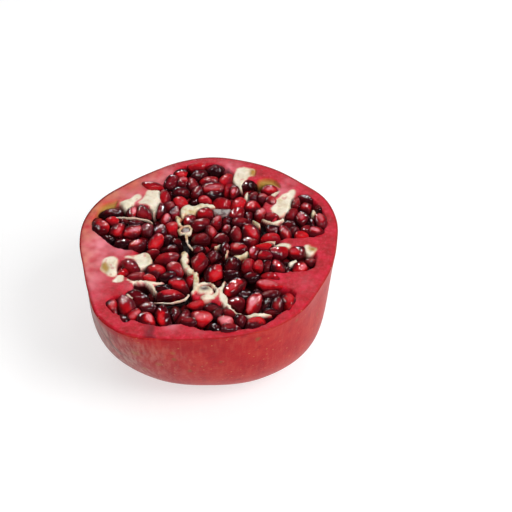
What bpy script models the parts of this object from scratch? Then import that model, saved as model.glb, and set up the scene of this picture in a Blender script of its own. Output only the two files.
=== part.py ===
"""Half of a pomegranate, cut across its middle and lying on its stem end with the cut face up.

The rind, its pink flesh and the cream walls between the locules grew as one piece, and are one object.
The arils of each locule hang together as one cluster, and each cluster is an object of its own.
The fruit is modelled in its own frame, with the cut face at z = 0 and the origin on the fruit's axis.
An empty then tilts it the few degrees that it leans when it lies, and stands it on z = 0.
"""

import math
import random

import bmesh
import bpy
from mathutils import Matrix, Vector
from mathutils.geometry import intersect_point_line

MM = 0.001

# The rim of the cut face: its radius in mm every 15 degrees, anticlockwise from the right (+X).
RIM_RADII = [
    50.6, 52.8, 53.8, 52.1, 52.2, 52.2, 52.8, 51.6, 50.0, 50.1, 51.9, 52.3,
    51.2, 50.4, 52.8, 57.4, 57.6, 53.6, 51.4, 51.2, 52.1, 51.5, 49.8, 49.9,
]

# The fruit below the cut face, in mm: the radii that it takes on every 30 degrees on the way down,
# its taper and its depth. The sides go down steeply and turn in near the stem end.
BELLY_RADII = [50.5, 51.5, 51.3, 51.0, 51.0, 51.5, 52.9, 55.9, 53.5, 50.7, 53.1, 55.0]
BELLY_SHARE = 0.8
TAPER = 0.13
DEPTH = 50.0
SIDE_POWER = 4.0
TURN_POWER = 3.7
OUTER_SEGMENTS = 60
OUTER_RINGS = 24

# The wall of flesh that is left round the locules, in mm.
WALL = 3.4
FLOOR = 8.0
INNER_SEGMENTS = 32
INNER_RINGS = 12

# How the half lies: its lean towards the front, and the flat spot that its weight presses.
LEAN = math.radians(5.0)
FOOT_PRESS = 1.6

# The stem end: a shallow dish with the short stub of the stem in it, in mm.
DISH_RADIUS = 7.0
DISH_DEPTH = 3.4
STUB_RADIUS = 2.6
STUB_HEIGHT = 1.3

# The locules on the cut face, each as (angle in degrees, radius in mm) round its edge.
LOCULES = {
    "back": [
        (128, 43), (119, 47), (106, 48.5), (92, 48), (81, 45.5), (75, 38),
        (74, 29), (80, 24.5), (97, 25.5), (111, 27), (121, 30),
    ],
    "back_right": [
        (71, 33), (67, 40), (58, 45), (49, 45), (46, 38), (49, 31), (60, 28.5),
    ],
    "right_back": [
        (39, 44), (34, 49), (25, 49.5), (14, 48), (7, 43.5), (5.5, 34), (7, 27),
        (17, 25), (26, 26.5), (30, 33),
    ],
    "right": [
        (354, 41), (347, 43), (340, 42.5), (334, 36), (327, 29.5), (320, 24),
        (310, 18.5), (315, 14), (330, 12.5), (344, 14), (352, 21), (355, 30),
    ],
    "front_right": [
        (321, 45), (315, 48), (306, 47.5), (298, 42.5), (289, 37), (284, 30),
        (287, 25), (299, 21.5), (310, 25), (316, 33),
    ],
    "front": [
        (217, 46.5), (221, 50), (233, 50.5), (247, 48), (257, 44.5), (270, 46.5),
        (283, 48.2), (295, 48.7), (300, 47), (291, 41.5), (281, 37), (271, 33.5),
        (262, 31), (254, 31.5), (244, 37), (232, 41), (222, 42.5),
    ],
    "front_left": [
        (221, 39), (219, 34), (228, 31.5), (240, 29), (250, 27), (254, 28),
        (246, 32.5), (236, 37), (228, 39.5),
    ],
    "left": [
        (207, 39.5), (214, 34), (226, 27.5), (240, 25), (252, 24), (251, 18.5),
        (232, 14.5), (206, 13), (195, 17), (203, 23), (208, 28), (203, 33),
        (195, 37), (196, 41), (202, 42),
    ],
    "back_left": [
        (183, 37), (176, 42), (168, 48), (157, 48.5), (148, 44), (142, 37),
        (139, 31.5), (129, 30.5), (122, 26.5), (127, 21), (142, 17.5), (160, 13.5),
        (178, 12), (190, 16), (188, 24), (187, 31),
    ],
    "centre": [
        (124, 17.5), (110, 21), (95, 20.5), (78, 15.5), (66, 20), (56, 26), (43, 28),
        (34, 23.5), (22, 21.5), (8, 21), (0, 15), (342, 10), (318, 10.5), (300, 16),
        (286, 21), (268, 22), (256, 17), (236, 11), (205, 8), (165, 8), (143, 9.5),
    ],
}
POINTS_PER_STEP = 2
GAP = 0.35
CUT_ABOVE = 8.0
CUT_BELOW = 70.0

# The arils, in mm: half their length and widths, how close they grow, and how they stand in their bed.
ARIL_HALF = Vector((5.3, 4.1, 3.8))
ARIL_SPACING = Vector((7.7, 5.5))
ARIL_SIDES = 6
ARIL_RINGS = 5
ARIL_TAPER = 0.22
ARIL_PRESS = 7.0
ARIL_FROM_EDGE = 2.0
ARIL_DEPTH = 2.7
ARIL_DEPTH_SPREAD = 0.8
ARIL_TURN = math.radians(22)
ARIL_TIP = math.radians(16)
FREE_TURN_RADIUS = 9.0
BED_DEPTH = 4.6
SEARCH_STEP = 0.7
SEED = 7

RIND_COLOUR = (0.52, 0.035, 0.045, 1)
ARIL_COLOUR = (0.23, 0.006, 0.012, 1)


def clear_scene():
    for obj in list(bpy.data.objects):
        bpy.data.objects.remove(obj)


def new_collection(name):
    collection = bpy.data.collections.new(name)
    bpy.context.scene.collection.children.link(collection)
    return collection


def add_object(name, mesh, collection):
    obj = bpy.data.objects.new(name, mesh)
    collection.objects.link(obj)
    return obj


def as_helper(obj):
    """Keeps a cutter out of the render, and so out of the part."""
    obj.hide_render = True
    obj.display_type = "WIRE"
    return obj


def bake(obj):
    """Applies the object's modifiers, or turns a curve into a welded mesh, and returns the object."""
    bpy.context.view_layer.update()
    graph = bpy.context.evaluated_depsgraph_get()
    mesh = bpy.data.meshes.new_from_object(obj.evaluated_get(graph))
    if obj.type == "CURVE":
        collection = obj.users_collection[0]
        name = obj.name
        matrix = obj.matrix_world.copy()
        bpy.data.objects.remove(obj)
        work = bmesh.new()
        work.from_mesh(mesh)
        bmesh.ops.remove_doubles(work, verts=work.verts, dist=0.00001)
        bmesh.ops.recalc_face_normals(work, faces=work.faces)
        work.to_mesh(mesh)
        work.free()
        obj = add_object(name, mesh, collection)
        obj.matrix_world = matrix
        return obj
    obj.modifiers.clear()
    obj.data = mesh
    return obj


def combine(obj, operation, other, solver="EXACT"):
    """Joins, cuts or crosses obj with an object or with all of a collection, and applies it."""
    modifier = obj.modifiers.new(operation.title(), "BOOLEAN")
    modifier.operation = operation
    modifier.solver = solver
    if isinstance(other, bpy.types.Collection):
        modifier.operand_type = "COLLECTION"
        modifier.collection = other
    else:
        modifier.object = other
    return bake(obj)


def radius_at(azimuth, radii):
    """The radius in mm on a smooth closed curve through evenly spaced radii."""
    step = 2 * math.pi / len(radii)
    place = (azimuth / step) % len(radii)
    index = int(place)
    t = place - index
    a, b, c, d = (radii[(index + k) % len(radii)] for k in (-1, 0, 1, 2))
    return catmull_rom(a, b, c, d, t)


def side_radius(azimuth, share):
    """The fruit's radius in mm, at a share of its depth below the cut face."""
    t = min(1.0, share / BELLY_SHARE)
    to_belly = t * t * (3 - 2 * t)
    rim = radius_at(azimuth, RIM_RADII)
    return (rim + (radius_at(azimuth, BELLY_RADII) - rim) * to_belly) * (1 - TAPER * share)


def catmull_rom(a, b, c, d, t):
    """The smooth curve through b and c, at t from 0 to 1, as the points before and after steer it."""
    bend = (2 * a - 5 * b + 4 * c - d) * t ** 2 + (3 * b - a - 3 * c + d) * t ** 3
    return 0.5 * (2 * b + (c - a) * t + bend)


def half_fruit(name, collection, wall, floor, segments, rings, rise=0.0):
    """A solid half fruit, wall and floor mm inside the skin, with its flat top raised by rise mm."""
    bpy.ops.mesh.primitive_uv_sphere_add(segments=segments, ring_count=rings, radius=1)
    obj = bpy.context.active_object
    obj.name = name
    for holder in list(obj.users_collection):
        holder.objects.unlink(obj)
    collection.objects.link(obj)

    work = bmesh.new()
    work.from_mesh(obj.data)
    above = [v for v in work.verts if v.co.z > 0.001]
    bmesh.ops.delete(work, geom=above, context="VERTS")
    for vert in work.verts:
        azimuth = math.atan2(vert.co.y, vert.co.x)
        share = min(1.0, max(0.0, -vert.co.z))
        spread = (1 - share ** SIDE_POWER) ** (1 / TURN_POWER)
        radius = (side_radius(azimuth, share) - wall) * spread
        vert.co.x = radius * math.cos(azimuth) * MM
        vert.co.y = radius * math.sin(azimuth) * MM
        vert.co.z = -(DEPTH - floor) * share * MM
    rim = [edge for edge in work.edges if edge.is_boundary]
    top = bmesh.ops.contextual_create(work, geom=rim)["faces"]
    if rise:
        raised = bmesh.ops.extrude_face_region(work, geom=top)["geom"]
        bmesh.ops.delete(work, geom=top, context="FACES_ONLY")
        verts = [item for item in raised if isinstance(item, bmesh.types.BMVert)]
        bmesh.ops.translate(work, verts=verts, vec=(0, 0, rise * MM))
    bmesh.ops.recalc_face_normals(work, faces=work.faces)
    work.to_mesh(obj.data)
    work.free()
    return obj


def press_foot(obj):
    """Cuts the flat spot that the half rests on, level once the fruit leans."""
    upward = Matrix.Rotation(-LEAN, 3, "X") @ Vector((0, 0, 1))
    work = bmesh.new()
    work.from_mesh(obj.data)
    lowest = min(vert.co.dot(upward) for vert in work.verts)
    bmesh.ops.bisect_plane(
        work,
        geom=work.verts[:] + work.edges[:] + work.faces[:],
        plane_co=upward * (lowest + FOOT_PRESS * MM),
        plane_no=upward,
        clear_inner=True,
    )
    bmesh.ops.contextual_create(work, geom=[edge for edge in work.edges if edge.is_boundary])
    bmesh.ops.recalc_face_normals(work, faces=work.faces)
    work.to_mesh(obj.data)
    work.free()


def locule_edge(points, inset=0.0):
    """The smooth closed edge of a locule as points in mm, moved inwards by inset."""
    corners = [
        Vector((r * math.cos(math.radians(a)), r * math.sin(math.radians(a)))) for a, r in points
    ]
    count = len(corners)
    edge = []
    for index in range(count):
        a, b, c, d = (corners[(index + k) % count] for k in (-1, 0, 1, 2))
        edge += [catmull_rom(a, b, c, d, k / POINTS_PER_STEP) for k in range(POINTS_PER_STEP)]
    turns_left = sum(edge[i - 1].cross(edge[i]) for i in range(len(edge))) > 0
    moved = []
    for index, point in enumerate(edge):
        along = (edge[(index + 1) % len(edge)] - edge[index - 1]).normalized()
        inwards = Vector((-along.y, along.x)) if turns_left else Vector((along.y, -along.x))
        moved.append(point + inwards * inset)
    return moved


def locule_block(name, points, inset, collection):
    """The locule's outline as an upright block that stands well above and below the half."""
    outline = bpy.data.curves.new(name, "CURVE")
    outline.dimensions = "2D"
    outline.fill_mode = "BOTH"
    outline.extrude = (CUT_ABOVE + CUT_BELOW) / 2 * MM
    edge = locule_edge(points, inset)
    spline = outline.splines.new("POLY")
    spline.points.add(len(edge) - 1)
    for place, point in zip(spline.points, edge):
        place.co = (point.x * MM, point.y * MM, 0, 1)
    spline.use_cyclic_u = True
    obj = add_object(name, outline, collection)
    obj.location.z = (CUT_ABOVE - CUT_BELOW) / 2 * MM
    obj = bake(obj)
    obj.data.transform(obj.matrix_world)
    obj.matrix_world = Matrix.Identity(4)
    return obj


def depth_inside(point, edge):
    """How far inside a locule's edge a point is in mm, below zero outside it."""
    inside = False
    nearest = math.inf
    for index, end in enumerate(edge):
        start = edge[index - 1]
        if (start.y > point.y) != (end.y > point.y):
            crossing = start.x + (point.y - start.y) / (end.y - start.y) * (end.x - start.x)
            inside ^= point.x < crossing
        foot, share = intersect_point_line(point, start, end)
        foot = foot.to_2d() if 0 < share < 1 else (start if share <= 0 else end)
        nearest = min(nearest, (point - foot).length)
    return nearest if inside else -nearest


def aril_places(edge, draw):
    """Where a locule's arils grow, packed from its outer wall inwards: centres in mm, and their turns."""
    places = []
    reach = max(point.length for point in edge)
    while reach > SEARCH_STEP:
        count = max(1, int(2 * math.pi * reach / SEARCH_STEP))
        for index in range(count):
            angle = 2 * math.pi * index / count
            outwards = Vector((math.cos(angle), math.sin(angle)))
            centre = outwards * (reach + draw.uniform(-0.3, 0.3))
            crowded = any(
                spacing_between(centre, other, outwards) < 1 for other, _, _, _ in places
            )
            if crowded or depth_inside(centre, edge) < ARIL_FROM_EDGE:
                continue
            turn = angle + draw.uniform(-ARIL_TURN, ARIL_TURN)
            if reach < FREE_TURN_RADIUS:
                turn = draw.uniform(0, 2 * math.pi)
            tip = draw.uniform(-ARIL_TIP, ARIL_TIP)
            sunk = ARIL_DEPTH + draw.uniform(-ARIL_DEPTH_SPREAD, ARIL_DEPTH_SPREAD)
            places.append((centre, turn, tip, sunk))
        reach -= SEARCH_STEP
    return places


def spacing_between(centre, other, outwards):
    """The distance between two arils as a share of the least they need, longer along their length."""
    apart = centre - other
    along = apart.dot(outwards) / ARIL_SPACING.x
    across = apart.cross(outwards) / ARIL_SPACING.y
    return math.hypot(along, across)


def aril_frame(place):
    """The matrix in mm that puts an aril at its place, long axis out from the fruit's axis."""
    centre, turn, tip, sunk = place
    moved = Matrix.Translation((centre.x, centre.y, -sunk))
    return moved @ Matrix.Rotation(turn, 4, "Z") @ Matrix.Rotation(tip, 4, "Y")


def neighbour_faces(place, places):
    """The flat faces that the arils next to this one press into it, in its own unit space."""
    into_unit = (aril_frame(place) @ Matrix.Diagonal((*ARIL_HALF, 1))).inverted()
    faces = []
    for other in places:
        if other is place:
            continue
        to_other = into_unit @ aril_frame(other).translation
        if to_other.length < 3.0:
            halfway = to_other.length / 2 * 0.93
            faces.append((to_other.normalized(), halfway))
    return faces


def aril_point(direction, faces):
    """The surface point of an aril in a direction: an ellipsoid pressed flat where others touch it."""
    press = 1.0
    for normal, distance in faces:
        press += (max(0.0, direction.dot(normal)) / distance) ** ARIL_PRESS
    point = direction * press ** (-1 / ARIL_PRESS)
    slim = 1 - ARIL_TAPER * point.x
    return Vector((point.x, point.y * slim, point.z * slim))


def add_aril(place, places, collection):
    bpy.ops.mesh.primitive_uv_sphere_add(segments=ARIL_SIDES, ring_count=ARIL_RINGS, radius=1)
    obj = bpy.context.active_object
    for holder in list(obj.users_collection):
        holder.objects.unlink(obj)
    collection.objects.link(obj)
    faces = neighbour_faces(place, places)
    frame = aril_frame(place) @ Matrix.Diagonal((*ARIL_HALF, 1))
    along_length = Matrix.Rotation(math.pi / 2, 3, "Y")
    for vert in obj.data.vertices:
        direction = (along_length @ vert.co).normalized()
        vert.co = frame @ aril_point(direction, faces) * MM
    return obj


def aril_cluster(name, points, fruit, cutters, draw):
    """The arils of one locule and the bed that they stand out of, as one body clear of the walls."""
    edge = locule_edge(points)
    places = aril_places(edge, draw)
    loose = new_collection("loose_arils")
    for place in places:
        add_aril(place, places, loose)

    room = as_helper(locule_block("room_" + name, points, GAP, cutters))
    combine(room, "INTERSECT", bpy.data.objects["inner_fruit_for_arils"])
    bpy.ops.mesh.primitive_cube_add(size=1)
    cluster = bpy.context.active_object
    cluster.name = "arils_" + name
    for holder in list(cluster.users_collection):
        holder.objects.unlink(cluster)
    fruit.objects.link(cluster)
    for vert in cluster.data.vertices:
        vert.co.x *= 4 * DEPTH * MM
        vert.co.y *= 4 * DEPTH * MM
        vert.co.z = (vert.co.z - 0.5) * 2 * DEPTH * MM - BED_DEPTH * MM
    # EXACT loses some of these clusters, whose pressed arils meet at very small angles.
    combine(cluster, "UNION", loose, "MANIFOLD")
    combine(cluster, "INTERSECT", room, "MANIFOLD")
    for obj in list(loose.objects):
        bpy.data.objects.remove(obj)
    bpy.data.collections.remove(loose)
    return cluster, len(places)


def stem_end(rind, cutters):
    """Hollows the dish at the stem end and leaves the stub of the stem in its middle."""
    pole = Vector((0, 0, -DEPTH)) * MM
    bpy.ops.mesh.primitive_uv_sphere_add(segments=20, ring_count=10, radius=1, location=pole)
    dish = bpy.context.active_object
    dish.name = "stem_dish"
    dish.scale = Vector((DISH_RADIUS, DISH_RADIUS, DISH_DEPTH)) * MM
    bpy.ops.mesh.primitive_cone_add(
        vertices=12,
        radius1=STUB_RADIUS * MM,
        radius2=STUB_RADIUS * 1.35 * MM,
        depth=2 * STUB_HEIGHT * MM,
        location=pole + Vector((0, 0, DISH_DEPTH * MM)),
    )
    stub = bpy.context.active_object
    stub.name = "stem_stub"
    for helper in (dish, stub):
        for holder in list(helper.users_collection):
            holder.objects.unlink(helper)
        cutters.objects.link(as_helper(helper))
    combine(rind, "DIFFERENCE", dish)
    combine(rind, "UNION", stub)


def finish(obj, colour, roughness):
    material = bpy.data.materials.new(obj.name)
    material.use_nodes = True
    shader = material.node_tree.nodes["Principled BSDF"]
    shader.inputs["Base Color"].default_value = colour
    shader.inputs["Roughness"].default_value = roughness
    shader.inputs["Metallic"].default_value = 0.0
    obj.data.materials.clear()
    obj.data.materials.append(material)


def lay_down(parts, collection):
    """Leans the parts together and stands them on z = 0, centred over the origin."""
    axis = bpy.data.objects.new("fruit_axis", None)
    collection.objects.link(axis)
    axis.rotation_euler.x = LEAN
    for obj in parts:
        obj.parent = axis
    bpy.context.view_layer.update()
    corners = [obj.matrix_world @ vert.co for obj in parts for vert in obj.data.vertices]
    low = Vector([min(corner[k] for corner in corners) for k in range(3)])
    high = Vector([max(corner[k] for corner in corners) for k in range(3)])
    axis.location = (-(low.x + high.x) / 2, -(low.y + high.y) / 2, -low.z)


def main():
    clear_scene()
    fruit = new_collection("open_pomegranate")
    cutters = new_collection("cutters")
    draw = random.Random(SEED)

    rind = half_fruit("rind_and_pith", fruit, 0, 0, OUTER_SEGMENTS, OUTER_RINGS)
    press_foot(rind)
    inner = half_fruit(
        "inner_fruit", cutters, WALL, FLOOR, INNER_SEGMENTS, INNER_RINGS, CUT_ABOVE / 2
    )
    inner_for_arils = half_fruit(
        "inner_fruit_for_arils",
        cutters,
        WALL + GAP,
        FLOOR + GAP,
        INNER_SEGMENTS,
        INNER_RINGS,
        CUT_ABOVE / 2,
    )
    as_helper(inner)
    as_helper(inner_for_arils)

    clusters = []
    for name, points in LOCULES.items():
        cluster, count = aril_cluster(name, points, fruit, cutters, draw)
        clusters.append(cluster)
        locule = as_helper(locule_block("locule_" + name, points, 0.0, cutters))
        combine(locule, "INTERSECT", inner)
        combine(rind, "DIFFERENCE", locule)
    stem_end(rind, cutters)

    finish(rind, RIND_COLOUR, 0.4)
    for cluster in clusters:
        finish(cluster, ARIL_COLOUR, 0.12)
    lay_down([rind, *clusters], fruit)


main()
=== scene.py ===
"""The look of an open pomegranate: half of the fruit, cut across and lying with its cut face up.

The fruit is shaped in its own frame, in mm, with the cut face at z = 0 and +Y away from the viewer.
LEANING leans it and stands it where the solid model is. Every piece ends up in metres, in the world.
"""

import math
import random

import bmesh
import bpy
import numpy as np
from mathutils import Matrix, Vector, noise


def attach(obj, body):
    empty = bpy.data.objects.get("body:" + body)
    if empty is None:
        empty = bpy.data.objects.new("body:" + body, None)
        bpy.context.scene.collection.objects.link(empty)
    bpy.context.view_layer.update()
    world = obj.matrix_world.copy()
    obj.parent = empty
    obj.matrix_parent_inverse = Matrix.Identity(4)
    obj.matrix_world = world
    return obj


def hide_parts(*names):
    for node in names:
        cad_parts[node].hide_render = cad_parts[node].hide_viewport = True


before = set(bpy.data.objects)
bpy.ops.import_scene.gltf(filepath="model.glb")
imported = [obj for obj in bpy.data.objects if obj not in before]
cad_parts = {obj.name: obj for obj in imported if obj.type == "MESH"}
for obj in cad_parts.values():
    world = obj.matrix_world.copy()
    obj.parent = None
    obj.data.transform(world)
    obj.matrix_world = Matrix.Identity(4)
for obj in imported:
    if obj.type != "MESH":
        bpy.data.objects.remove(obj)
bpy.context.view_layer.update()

# The rind and the pith. A pomegranate's leathery rind, the pink flesh under it and the cream walls
# between its locules are one grown piece. It is a cut surface that is shaped by its hollows and
# patches, with the side of the fruit drawn down from its rim to the stem end.

MM = 0.001
LEAN = math.radians(5)
FACE_CENTRE = Vector((0.07, -0.47, 49.32))
LEANING = Matrix.Translation(FACE_CENTRE * MM) @ Matrix.Rotation(LEAN, 4, "X") @ Matrix.Scale(MM, 4)

# The outline of the cut face every 15 degrees and of the belly every 30, then how the side falls.
RIM_RADII = np.array([
    50.6, 52.8, 53.8, 52.1, 52.2, 52.2, 52.8, 51.6, 50.0, 50.1, 51.9, 52.3,
    51.2, 50.4, 52.8, 57.4, 57.6, 53.6, 51.4, 51.2, 52.1, 51.5, 49.8, 49.9,
])
BELLY_RADII = np.array([50.5, 51.5, 51.3, 51.0, 51.0, 51.5, 52.9, 55.9, 53.5, 50.7, 53.1, 55.0])
BELLY_SHARE = 0.8
SIDE_TAPER = 0.13
DEPTH = 50.0
SIDE_POWER = 4.0
TURN_POWER = 3.7
RIM_ROUND = 0.55
DISH_RADIUS, DISH_DEPTH = 7.0, 3.4
STUB_RADIUS, STUB_HEIGHT = 2.6, 1.3

# The locules on the cut face, each an outline of azimuth in degrees and radius in mm.
LOCULES = {
    "back": [
        (128, 43), (119, 40.5), (111, 44.5), (104, 48), (92, 48), (81, 45.5), (75, 38), (74, 29),
        (80, 24.5), (97, 25.5), (111, 27), (121, 30),
    ],
    "back_right": [
        (71, 33), (67, 40), (58, 43), (49, 42), (46, 38), (49, 31), (60, 28.5),
    ],
    "right_back": [
        (39, 44), (34, 48), (25, 49), (14, 48), (7, 43.5), (5.5, 34), (7, 27), (17, 25), (26, 26.5),
        (30, 33),
    ],
    "right": [
        (354, 41), (347, 43), (340, 42.5), (334, 36), (327, 29.5), (320, 24), (310, 18.5), (315, 14),
        (330, 12.5), (344, 14), (352, 21), (355, 30),
    ],
    "front_right": [
        (321, 43), (315, 46), (306, 47), (298, 42.5), (289, 37), (284, 30), (287, 25), (299, 21.5),
        (310, 25), (316, 33),
    ],
    "front": [
        (220, 48), (222.5, 50.5), (233, 50.5), (247, 48), (257, 44.5), (270, 46.5), (283, 48.2),
        (295, 48.7), (300, 47), (291, 41.5), (281, 35.5), (271, 31.8), (262, 31), (254, 31.5), (244, 37),
        (232, 41), (222.5, 44),
    ],
    "front_left": [
        (221, 39), (219, 34), (228, 31.5), (240, 29), (250, 27), (254, 28), (246, 32.5), (236, 37),
        (228, 39.5),
    ],
    "left": [
        (207, 39.5), (214, 34), (226, 27.5), (240, 25), (252, 24), (251, 18.5), (232, 14.5), (206, 13),
        (195, 17), (203, 23), (208, 28), (203, 33), (195, 37), (196, 41), (202, 42),
    ],
    "back_left": [
        (183, 37), (176, 42), (168, 48), (157, 48.5), (148, 44), (142, 37), (139, 31.5), (129, 30.5),
        (122, 26.5), (127, 21), (142, 17.5), (160, 13.5), (178, 12), (190, 16), (188, 24), (187, 31),
    ],
    "centre": [
        (124, 17.5), (110, 21), (95, 20.5), (78, 15.5), (66, 20), (56, 26), (43, 28), (34, 23.5),
        (22, 21.5), (8, 21), (0, 15), (342, 10), (318, 10.5), (300, 16), (286, 21), (268, 22), (256, 17),
        (236, 11), (205, 8), (165, 8), (143, 9.5),
    ],
}

# Where the cream pith comes up to the cut face, in mm on the face.
PITH_PATCHES = [
    [
        (-26, 31.5), (-21, 31), (-20.8, 24), (-21.3, 18), (-22.5, 15.5), (-23.6, 19), (-25, 22.5),
        (-29, 23.5), (-27, 28.5),
    ],
    [(-36.5, 24), (-33, 25.5), (-31, 28.5), (-28.5, 28), (-30.5, 24), (-33, 20), (-35, 20.5)],
    [
        (11, 45.2), (15, 45.5), (17.5, 44.5), (17.5, 41.5), (15.5, 39.5), (13.4, 36), (12.8, 31.5),
        (11.2, 33), (9.2, 38), (9.7, 42),
    ],
    [
        (34.5, 31.5), (31, 30), (28.3, 27.5), (26.3, 23), (24.8, 20), (26.5, 17), (29.5, 15.8), (32, 19),
        (33.2, 24),
    ],
    [
        (-12, 20), (-9.5, 23), (-7, 22), (-4, 23.5), (0.5, 23), (2, 21.2), (-1, 20.8), (-5, 19.8),
        (-6.3, 17.5), (-10, 16.8), (-11, 14.5), (-12.3, 17),
    ],
    [(-40.5, -8.5), (-36, -8.3), (-35.3, -13), (-35.2, -18), (-38, -18.6), (-41, -15.5), (-41.3, -11)],
    [(-32.5, -7.5), (-28, -6.5), (-25, -5), (-23, -7), (-22, -11), (-26, -14.4), (-28, -11), (-29.5, -8.5)],
    [(-36.5, -21.5), (-34.3, -17.8), (-32.6, -18), (-32.6, -21), (-34.5, -21.7)],
    [(-1.8, -31.2), (-2, -29.8), (-0.5, -28.3), (2.2, -28.6), (2.8, -30.4), (0.6, -31.4)],
    [(9.3, -6.5), (12, -6.3), (15.3, -4.8), (15.3, -7), (12.3, -7.8), (11.3, -9)],
    [(26, -0.8), (28.5, 0.2), (32, -0.9), (31.5, -3), (28.8, -2), (26.5, -2.4)],
    [(37.8, -1.2), (41, -2.2), (42.3, -4), (40.5, -6), (38.4, -5.4)],
    [(31, -10.3), (34.5, -9.2), (34.5, -10.8), (32.7, -12.3), (31.5, -12.8)],
    [(41.2, 20.5), (43, 19.3), (42.5, 16.6), (41.3, 16.4)],
    [(13.6, 28.5), (15.4, 30.8), (15.8, 27), (14.2, 26)],
    [(24.2, 29), (27.5, 31.2), (28.2, 29.8), (25.5, 28.3)],
    [(-3, -24), (0.3, -23.6), (2.2, -25.6), (1.6, -27.6), (-1, -28), (-3.4, -26.8)],
]
# Ochre beds of the placenta where an aril has come away, and grey see-through jelly.
OCHRE_PATCHES = [
    [
        (-45.5, 15), (-44.8, 20), (-42, 23.8), (-38, 25), (-38.5, 22.8), (-41, 21), (-43.4, 17.5),
        (-43.8, 15),
    ],
    [
        (18, 32), (18.5, 36), (21.5, 38.7), (25.5, 38.3), (28, 36), (28.2, 33.5), (25.5, 35.2), (22, 34.2),
        (20.3, 31.5),
    ],
    [(15.8, 44.8), (18.4, 44), (18.3, 41.5), (16.2, 40.6)],
    [(-41.4, -11.5), (-39.3, -11), (-38.6, -14), (-39.3, -17), (-40.8, -15.5)],
    [(39.5, -1.6), (42.2, -3), (41.8, -5.2), (40, -4.5)],
]
JELLY_PATCHES = [
    [(0.8, 19.6), (4, 20.4), (8.2, 20.0), (7.6, 17), (6.2, 14.8), (4.4, 15.8), (2.2, 16.2)],
    [(-11.2, 7.5), (-10.4, 9), (-8.6, 9), (-7.8, 7.5), (-8.6, 6), (-10.4, 6)],
    [(-2.4, -24.4), (-1, -24), (0.2, -24.9), (-0.2, -25.9), (-2, -25.8)],
]
# The thin cream walls that stand up between the arils, as (x, y, width), and the one that is a ring.
MEMBRANES = [
    [(-31, -20.5, 1.0), (-29, -21.6, 1.5), (-24, -21.4, 1.8), (-22, -22, 2.0), (-17.5, -22, 1.1)],
    [(-22.5, -21.8, 2.2), (-21, -24.6, 2.0), (-19.5, -27.4, 1.2)],
    [(-30.5, -28.5, 1.0), (-29.5, -29.6, 1.4), (-28.5, -30.5, 1.0)],
    [(-20, -33, 0.4), (-13, -33, 0.5), (-8.5, -31, 0.7), (-7, -28.5, 0.9)],
    [
        (-9.5, -6.5, 3.2), (-9.3, -9, 3.2), (-9, -13, 2.6), (-6.5, -16, 2.6), (-5, -18, 2.8),
        (-4.5, -22, 2.6), (-4.4, -25, 2.2), (-5.4, -27.6, 1.6),
    ],
    [
        (-4, -23, 2.0), (-1.5, -22.3, 1.7), (1, -22.6, 1.5), (3.6, -25.4, 1.4), (3.2, -28.4, 1.5),
        (1.5, -30.4, 1.8), (-1.2, -30.4, 1.6),
    ],
    [
        (6.5, -21.5, 1.4), (5.5, -24, 1.8), (5.5, -27, 2.6), (6.2, -31, 2.8), (8, -34.6, 2.0),
        (11, -38, 1.4), (15, -39.5, 1.4), (19, -39.3, 2.2), (22, -39, 1.6), (24.5, -39, 1.0),
    ],
    [(2.5, -2, 1.2), (5.5, -1, 1.8), (7, -3.5, 1.6), (7, -7, 1.2)],
    [(20, -1, 0.8), (24, 0.5, 1.2), (26, 0, 1.6)],
    [(17.5, 13, 1.8), (18.8, 11.5, 2.2), (20, 9.5, 1.4)],
    [(21.5, 13.8, 1.2), (24, 12, 1.4), (26, 11.5, 1.6), (28, 12.3, 1.8), (29.5, 14, 1.4)],
    [(-13, 15, 2.4), (-12.5, 12, 2.0), (-11, 9.8, 1.6)],
    [(-9.2, 5, 1.4), (-9, 3, 1.2), (-8.5, 0, 0.8), (-7.5, -2, 0.8), (-6.5, -4, 0.6)],
    [(-38, 14.8, 0.4), (-34, 14.8, 0.6), (-30, 14.3, 0.7), (-25, 13, 0.6), (-23, 11, 0.4)],
]
RING_RADII = [2.2, 2.4, 2.6, 2.3, 2.0, 2.1, 2.5, 2.6, 2.2, 2.0, 2.2, 2.4]
RING_WIDTHS = [1.1, 1.4, 1.5, 1.0, 0.8, 1.1, 1.6, 1.3, 0.9, 1.0, 1.4, 1.2]
RING_X, RING_Y = -9.5, 7.5
MEMBRANE_RING = [
    (RING_X + radius * math.cos(k * math.pi / 6), RING_Y + radius * math.sin(k * math.pi / 6), width)
    for k, (radius, width) in enumerate(zip(RING_RADII, RING_WIDTHS))
]
# Where the flesh is paler or more orange than crimson: (x, y, radius, how much).
PALE_FLESH = [
    (-12.6, -44.6, 3.0, 0.5), (-20.5, 38.6, 3.0, 0.6), (-18.5, 42.8, 3.0, 0.7), (-15.5, 28, 2.0, 0.6),
    (5, 42, 4.5, 0.7), (8, 46, 4.0, 0.6), (-43, 1, 8.5, 0.95), (-45, -7, 8.0, 0.9), (-35, -3.5, 4.0, 0.6),
    (-31, 27, 5.0, 0.7), (-38, 30, 5.0, 0.6), (-25, 36, 6.0, 0.6), (30, 31.5, 4.0, 0.6),
    (24, -0.2, 3.0, 0.8), (33, 37, 4.0, 0.3), (38, -23, 4.0, 0.15), (-26, -23, 4.0, 0.7),
    (-46, -20, 7.0, 0.7), (-44, -27, 5.0, 0.4), (-3, -47, 2.5, 0.15), (-48, -14, 5.0, 0.6),
]
ORANGE_FLESH = [
    (-46, 20, 6.0, 0.7), (-40, 29, 5.0, 0.8), (-33, 36, 6.0, 0.6), (-50, 5, 6.0, 0.6), (-51, -8, 7.0, 0.6),
    (-24, 42, 5.0, 0.4), (-51, -18, 6.0, 0.4), (-47, 12, 4.0, 0.5),
]
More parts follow.
